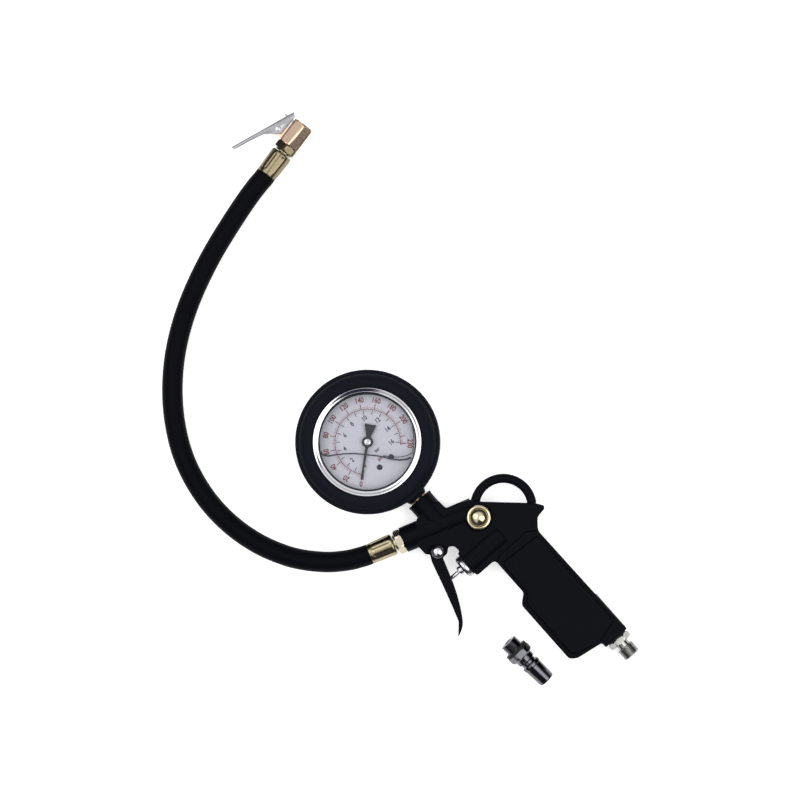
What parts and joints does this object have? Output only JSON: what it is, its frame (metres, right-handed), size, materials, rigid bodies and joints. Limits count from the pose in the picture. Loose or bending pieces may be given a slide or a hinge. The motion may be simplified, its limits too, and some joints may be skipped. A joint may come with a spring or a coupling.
{
  "type": "tyre inflator gun with pressure gauge",
  "caption": "Pistol-grip tyre inflator with a trigger valve, bleed button, liquid-filled dial gauge in a rubber boot, short hose and clip-on tyre chuck.",
  "frame": {"origin": "centre of the footprint of the gun, gauge and spare plug, lying on their side on the floor, with the hose, its fittings and the chuck not counted", "axes": "+Y along the grip from the air inlet up to the gauge, +Z out of the dial, -X to the trigger and hose side"},
  "size_m": [0.2361, 0.4552, 0.0385],
  "materials": {
    "body_paint": "satin black paint on a die casting",
    "trigger_paint": "satin black paint",
    "boot_rubber": "matt moulded rubber",
    "hose_rubber": "smooth matt rubber",
    "seal_rubber": "smooth",
    "pin_chrome": "polished",
    "gland_steel": "turned",
    "spring_steel": "drawn wire",
    "nickel": "bright nickel plate",
    "bezel_chrome": "polished",
    "case_steel": "pressed stainless steel",
    "window_clear": "clear",
    "dial_paint": "satin white with printed scales",
    "pointer_black": "satin black",
    "button_gold": "polished yellow plate",
    "movement_brass": "turned and stamped",
    "fitting_zinc": "yellow zinc plate, olive gold",
    "chuck_copper": "copper-toned brass",
    "lever_plate": "bright zinc plate",
    "plug_black_chrome": "black nickel plate"
  },
  "bodies": {
    "gun": {"gun_body": "body_paint", "trigger_pin": "pin_chrome", "valve_gland": "gland_steel", "gland_washer": "seal_rubber", "stem_seal": "seal_rubber", "valve_seat": "movement_brass", "valve_spring": "spring_steel", "bleed_ring": "button_gold", "bleed_seat": "movement_brass", "bleed_spring": "spring_steel", "inlet_nipple": "nickel", "inlet_washer": "seal_rubber", "gauge_boot": "boot_rubber", "gauge_case": "case_steel", "fill_plug": "seal_rubber", "bezel_ring": "bezel_chrome", "window": "window_clear", "window_seal": "seal_rubber", "dial_plate": "dial_paint", "dial_screws": "pointer_black", "dial_legs": "movement_brass", "gauge_socket": "movement_brass", "bourdon_tube": "movement_brass", "movement_back_plate": "movement_brass", "movement_front_plate": "movement_brass", "movement_pillars": "movement_brass", "hairspring": "spring_steel", "hose_nipple_gun": "fitting_zinc", "hose_ferrule_gun": "fitting_zinc", "hose": "hose_rubber", "hose_ferrule_chuck": "fitting_zinc", "hose_nipple_chuck": "fitting_zinc", "chuck_body": "chuck_copper", "chuck_seal": "seal_rubber", "chuck_depressor": "movement_brass", "chuck_pin": "gland_steel", "chuck_spring": "spring_steel"},
    "trigger": {"trigger": "trigger_paint"},
    "valve": {"valve_stem": "gland_steel", "valve_poppet": "movement_brass", "poppet_seal": "seal_rubber"},
    "bleed": {"bleed_button": "button_gold", "bleed_poppet": "movement_brass", "bleed_seal": "seal_rubber"},
    "pointer_shaft": {"pointer": "pointer_black", "pointer_cap": "pin_chrome", "pinion": "spring_steel"},
    "sector": {"sector_gear": "movement_brass"},
    "tube_end": {"tube_tip": "movement_brass", "tip_link": "movement_brass"},
    "lever": {"chuck_lever": "lever_plate"},
    "loose_plug": {"quick_plug": "plug_black_chrome", "quick_plug_washer": "seal_rubber"}
  },
  "joints": [
    {"name": "trigger_pivot", "type": "hinge", "parent": "gun", "child": "trigger", "pos_m": [-0.022, 0.0028, 0.0125], "axis": [0, 0, 1], "range_deg": [0, 12], "stiffness_Nm_per_rad": 2, "springref_deg": -5.73},
    {"name": "valve_slide", "type": "slide", "parent": "gun", "child": "valve", "axis": [1, 0, 0], "range_m": [0, 0.0046], "deforming": ["valve_spring"]},
    {"name": "bleed_press", "type": "slide", "parent": "gun", "child": "bleed", "axis": [0, 0, -1], "range_m": [0, 0.002], "stiffness_N_per_m": 800, "springref_m": -0.002, "deforming": ["bleed_spring"]},
    {"name": "pointer_turn", "type": "hinge", "parent": "gun", "child": "pointer_shaft", "pos_m": [-0.0075, 0.093, 0.024], "axis": [0, 0, -1], "range_deg": [0, 262], "deforming": ["hairspring"]},
    {"name": "sector_turn", "type": "hinge", "parent": "gun", "child": "sector", "pos_m": [0.0072, 0.093, 0.021], "axis": [0, 0, 1], "range_deg": [0, 43.7]},
    {"name": "tube_end_rise", "type": "slide", "parent": "gun", "child": "tube_end", "axis": [0, 1, 0], "range_m": [0, 0.00387], "stiffness_N_per_m": 200, "springref_m": -0.0005, "deforming": ["bourdon_tube"]},
    {"name": "lever_pivot", "type": "hinge", "parent": "gun", "child": "lever", "pos_m": [0.0915, 0.30072, 0.0088], "axis": [0, 0, 1], "range_deg": [0, 20], "stiffness_Nm_per_rad": 0.3, "springref_deg": -17.19, "deforming": ["chuck_spring"]},
    {"name": "plug_lift", "type": "slide", "parent": "gun", "child": "loose_plug", "axis": [0, 0, 1], "range_m": [0, 0.06]}
  ],
  "couplings": [
    {"joint": "valve_slide", "follows": "trigger_pivot", "m_per_rad": 0.021725},
    {"joint": "pointer_turn", "follows": "tube_end_rise", "rad_per_m": 1182.3},
    {"joint": "sector_turn", "follows": "tube_end_rise", "rad_per_m": 197.04}
  ]
}
